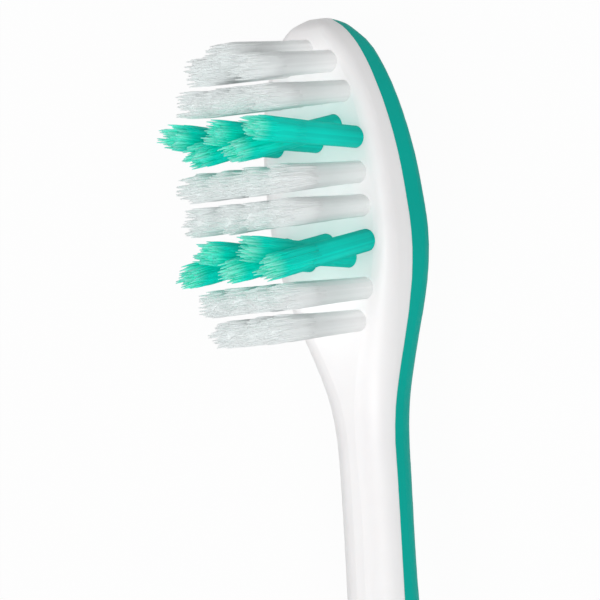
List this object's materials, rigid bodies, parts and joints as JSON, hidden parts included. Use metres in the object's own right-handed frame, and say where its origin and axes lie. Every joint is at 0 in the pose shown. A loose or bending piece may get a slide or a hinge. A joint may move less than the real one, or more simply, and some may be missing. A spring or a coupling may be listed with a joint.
{
  "type": "manual toothbrush",
  "caption": "Slim two-material hand toothbrush with an oval head, crossed bristle tufts in two colours, a soft back strip and a ribbed thumb pad.",
  "frame": {"origin": "on the table under the middle of the brush's length and width", "axes": "+X along the brush to the tip of the head, +Z the way the bristles point, +Y across the brush"},
  "size_m": [0.1799, 0.0114, 0.019],
  "materials": {
    "white_polypropylene": "opaque white polypropylene with a satin gloss",
    "teal_elastomer": "soft teal thermoplastic elastomer, satin",
    "white_nylon": "translucent undyed nylon filament",
    "teal_nylon": "dyed teal nylon filament",
    "nickel_silver_wire": "flat nickel-silver staple wire"
  },
  "bodies": {
    "root": {"back_overmould": "teal_elastomer", "handle_core": "white_polypropylene", "teal_tuft_row3_1": "teal_nylon", "teal_tuft_row3_2": "teal_nylon", "teal_tuft_row3_3": "teal_nylon", "teal_tuft_row3_4": "teal_nylon", "teal_tuft_row3_5": "teal_nylon", "teal_tuft_row6_1": "teal_nylon", "teal_tuft_row6_2": "teal_nylon", "teal_tuft_row6_3": "teal_nylon", "teal_tuft_row6_4": "teal_nylon", "teal_tuft_row6_5": "teal_nylon", "thumb_pad": "teal_elastomer", "tuft_anchors": "nickel_silver_wire", "white_tuft_row1_1": "white_nylon", "white_tuft_row1_2": "white_nylon", "white_tuft_row1_3": "white_nylon", "white_tuft_row2_1": "white_nylon", "white_tuft_row2_2": "white_nylon", "white_tuft_row2_3": "white_nylon", "white_tuft_row2_4": "white_nylon", "white_tuft_row4_1": "white_nylon", "white_tuft_row4_2": "white_nylon", "white_tuft_row4_3": "white_nylon", "white_tuft_row4_4": "white_nylon", "white_tuft_row5_1": "white_nylon", "white_tuft_row5_2": "white_nylon", "white_tuft_row5_3": "white_nylon", "white_tuft_row5_4": "white_nylon", "white_tuft_row7_1": "white_nylon", "white_tuft_row7_2": "white_nylon", "white_tuft_row7_3": "white_nylon", "white_tuft_row7_4": "white_nylon", "white_tuft_row8_1": "white_nylon", "white_tuft_row8_2": "white_nylon", "white_tuft_row8_3": "white_nylon"}
  },
  "joints": []
}
